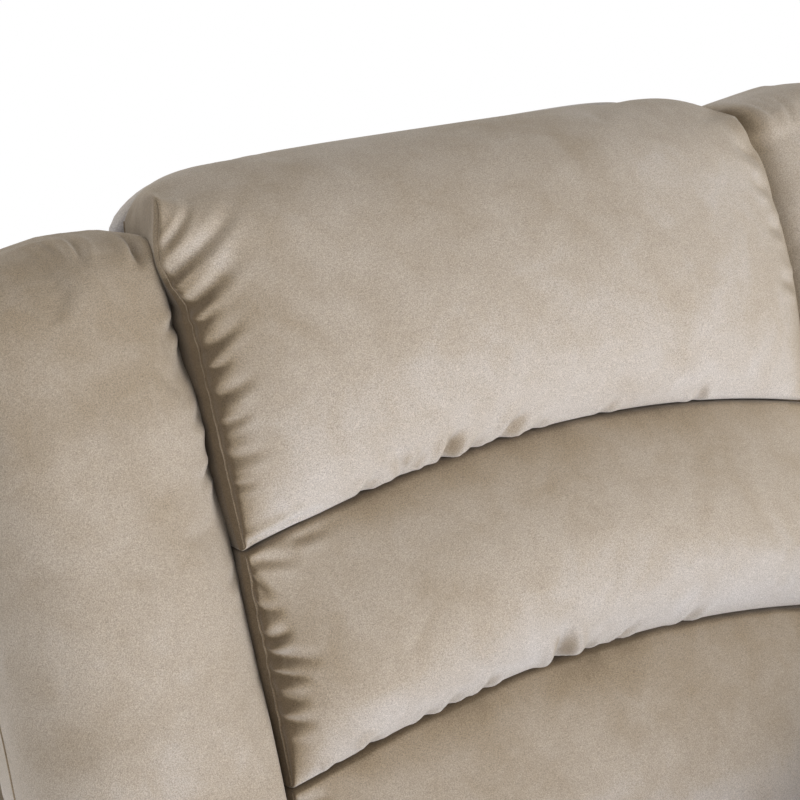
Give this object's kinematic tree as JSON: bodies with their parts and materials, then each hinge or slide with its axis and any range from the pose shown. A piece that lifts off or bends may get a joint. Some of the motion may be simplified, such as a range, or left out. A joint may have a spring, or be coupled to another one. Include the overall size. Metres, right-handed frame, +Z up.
{
  "type": "lift recliner chair",
  "caption": "Powered lift recliner chair with a three-tier pillow back, wide side wings, padded arms, a linked legrest and a tilting lift base.",
  "frame": {"origin": "on the floor under the middle of the chair's footprint", "axes": "+Z up, the chair faces -Y, +X to the right of someone who looks at its front"},
  "size_m": [0.95, 0.886, 1.0751],
  "materials": {
    "velvet": "brushed faux-suede velvet, taupe",
    "webbing": "elastic webbing",
    "timber": "planed beech and ply",
    "black_steel": "satin black powder coat",
    "link_steel": "gloss black paint",
    "zinc": "bright zinc plate",
    "tube_alloy": "satin anodised",
    "rod_steel": "polished",
    "black_plastic": "fine spark texture",
    "handset_plastic": "soft-touch dark grey",
    "button_plastic": "light grey",
    "glide_rubber": "matt black"
  },
  "bodies": {
    "base": {"base_side_rails": "black_steel", "base_cross_tubes": "black_steel", "floor_glides": "glide_rubber", "base_brackets": "black_steel", "base_pivot_studs": "zinc", "power_supply": "black_plastic"},
    "front_lift_links": {"front_lift_links": "link_steel"},
    "rear_lift_links": {"rear_lift_links": "link_steel"},
    "lift_actuator": {"lift_gear_housing": "black_plastic", "lift_motor": "black_plastic", "lift_outer_tube": "tube_alloy"},
    "lift_rod": {"lift_rod": "rod_steel"},
    "carriage": {"mechanism_side_plates": "black_steel", "carriage_pivot_studs": "zinc", "carriage_cross_tubes": "black_steel", "actuator_lugs": "black_steel", "seat_frame": "timber", "seat_webbing": "webbing", "seat_cushion": "velvet", "arm_mount_spacers": "zinc", "arm_frames": "timber", "arm_inner_panels": "velvet", "arm_outer_panels": "velvet", "arm_front_panels": "velvet", "arm_rear_panels": "velvet", "arm_pad_left": "velvet", "arm_pad_right": "velvet", "side_pocket_left": "velvet", "side_pocket_right": "velvet", "control_box": "black_plastic"},
    "recline_actuator": {"recline_gear_housing": "black_plastic", "recline_motor": "black_plastic", "recline_outer_tube": "tube_alloy"},
    "recline_rod": {"recline_rod": "rod_steel"},
    "drive_shaft": {"drive_tube": "link_steel", "rear_leg_links": "link_steel"},
    "outer_leg_links": {"outer_leg_links": "link_steel"},
    "front_leg_links": {"front_leg_links": "link_steel"},
    "inner_leg_links": {"inner_leg_links": "link_steel"},
    "legrest": {"legrest_brackets": "link_steel", "legrest_board": "timber", "legrest_pad": "velvet"},
    "back_drive_links": {"back_drive_links": "link_steel"},
    "backrest": {"back_frame": "timber", "back_pivot_plates": "black_steel", "back_levers": "black_steel", "back_webbing": "webbing", "outside_back": "velvet", "lower_pillow": "velvet", "middle_pillow": "velvet", "head_pillow": "velvet", "wing_left": "velvet", "wing_right": "velvet"},
    "handset": {"handset_front": "handset_plastic", "handset_back": "handset_plastic"},
    "button_raise": {"button_raise": "button_plastic"},
    "button_lower": {"button_lower": "button_plastic"},
    "button_recline": {"button_recline": "button_plastic"},
    "button_upright": {"button_upright": "button_plastic"}
  },
  "joints": [
    {"name": "lift", "type": "hinge", "parent": "base", "child": "front_lift_links", "pos_m": [0, -0.31, 0.095], "axis": [1, 0, 0], "range_deg": [0, 46]},
    {"name": "carriage_tilt", "type": "hinge", "parent": "front_lift_links", "child": "carriage", "pos_m": [0, 0.09, 0.105], "axis": [1, 0, 0], "range_deg": [-22.05, 0]},
    {"name": "rear_link_swing", "type": "hinge", "parent": "base", "child": "rear_lift_links", "pos_m": [0, -0.2712, 0.095], "axis": [1, 0, 0], "range_deg": [0, 42.2]},
    {"name": "lift_actuator_swing", "type": "hinge", "parent": "base", "child": "lift_actuator", "pos_m": [0, -0.3, 0.085], "axis": [1, 0, 0], "range_deg": [0, 42.3]},
    {"name": "lift_rod_travel", "type": "slide", "parent": "lift_actuator", "child": "lift_rod", "axis": [0, 0.8051, 0.5932], "range_m": [0, 0.0903]},
    {"name": "recline", "type": "hinge", "parent": "carriage", "child": "backrest", "pos_m": [0, 0.235, 0.4], "axis": [-1, 0, 0], "range_deg": [0, 38]},
    {"name": "drive_shaft_turn", "type": "hinge", "parent": "carriage", "child": "drive_shaft", "pos_m": [0, -0.2118, 0.2851], "axis": [-1, 0, 0], "range_deg": [0, 116.37]},
    {"name": "outer_leg_link_fold", "type": "hinge", "parent": "drive_shaft", "child": "outer_leg_links", "pos_m": [0, -0.1013, 0.1344], "axis": [-1, 0, 0], "range_deg": [-115.12, 0]},
    {"name": "legrest_turn", "type": "hinge", "parent": "outer_leg_links", "child": "legrest", "pos_m": [0, -0.3579, 0.2629], "axis": [-1, 0, 0], "range_deg": [0, 90.8]},
    {"name": "front_leg_link_swing", "type": "hinge", "parent": "carriage", "child": "front_leg_links", "pos_m": [0, -0.2668, 0.3186], "axis": [-1, 0, 0], "range_deg": [0, 113.81]},
    {"name": "inner_leg_link_fold", "type": "hinge", "parent": "front_leg_links", "child": "inner_leg_links", "pos_m": [0, -0.1366, 0.1321], "axis": [-1, 0, 0], "range_deg": [-111.25, 0]},
    {"name": "back_drive_link_fold", "type": "hinge", "parent": "drive_shaft", "child": "back_drive_links", "pos_m": [0, -0.19162, 0.27249], "axis": [-1, 0, 0], "range_deg": [-116.36, 0]},
    {"name": "recline_actuator_swing", "type": "hinge", "parent": "carriage", "child": "recline_actuator", "pos_m": [0, -0.025, 0.259], "axis": [-1, 0, 0], "range_deg": [-2.73, 0]},
    {"name": "recline_rod_travel", "type": "slide", "parent": "recline_actuator", "child": "recline_rod", "axis": [0, 0.9818, 0.1897], "range_m": [-0.05738, 0]},
    {"name": "handset_lift_out", "type": "slide", "parent": "carriage", "child": "handset", "axis": [0, 0, 1], "range_m": [0, 0.2]},
    {"name": "button_raise_press", "type": "slide", "parent": "handset", "child": "button_raise", "axis": [1, 0, 0], "range_m": [0, 0.0012], "stiffness_N_per_m": 900, "springref_m": -0.0003},
    {"name": "button_lower_press", "type": "slide", "parent": "handset", "child": "button_lower", "axis": [1, 0, 0], "range_m": [0, 0.0012], "stiffness_N_per_m": 900, "springref_m": -0.0003},
    {"name": "button_recline_press", "type": "slide", "parent": "handset", "child": "button_recline", "axis": [1, 0, 0], "range_m": [0, 0.0012], "stiffness_N_per_m": 900, "springref_m": -0.0003},
    {"name": "button_upright_press", "type": "slide", "parent": "handset", "child": "button_upright", "axis": [1, 0, 0], "range_m": [0, 0.0012], "stiffness_N_per_m": 900, "springref_m": -0.0003}
  ],
  "couplings": [
    {"joint": "carriage_tilt", "follows": "lift", "ratio": -0.47826},
    {"joint": "rear_link_swing", "follows": "lift", "ratio": 0.91609},
    {"joint": "lift_actuator_swing", "follows": "lift", "ratio": 0.9187},
    {"joint": "lift_rod_travel", "follows": "lift", "m_per_rad": 0.11239},
    {"joint": "drive_shaft_turn", "follows": "recline", "ratio": 3.0611},
    {"joint": "outer_leg_link_fold", "follows": "recline", "ratio": -3.0282},
    {"joint": "legrest_turn", "follows": "recline", "ratio": 2.3882},
    {"joint": "front_leg_link_swing", "follows": "recline", "ratio": 2.9937},
    {"joint": "inner_leg_link_fold", "follows": "recline", "ratio": -2.9263},
    {"joint": "back_drive_link_fold", "follows": "recline", "ratio": -3.0606},
    {"joint": "recline_actuator_swing", "follows": "recline", "ratio": -0.070649},
    {"joint": "recline_rod_travel", "follows": "recline", "m_per_rad": -0.086362}
  ]
}
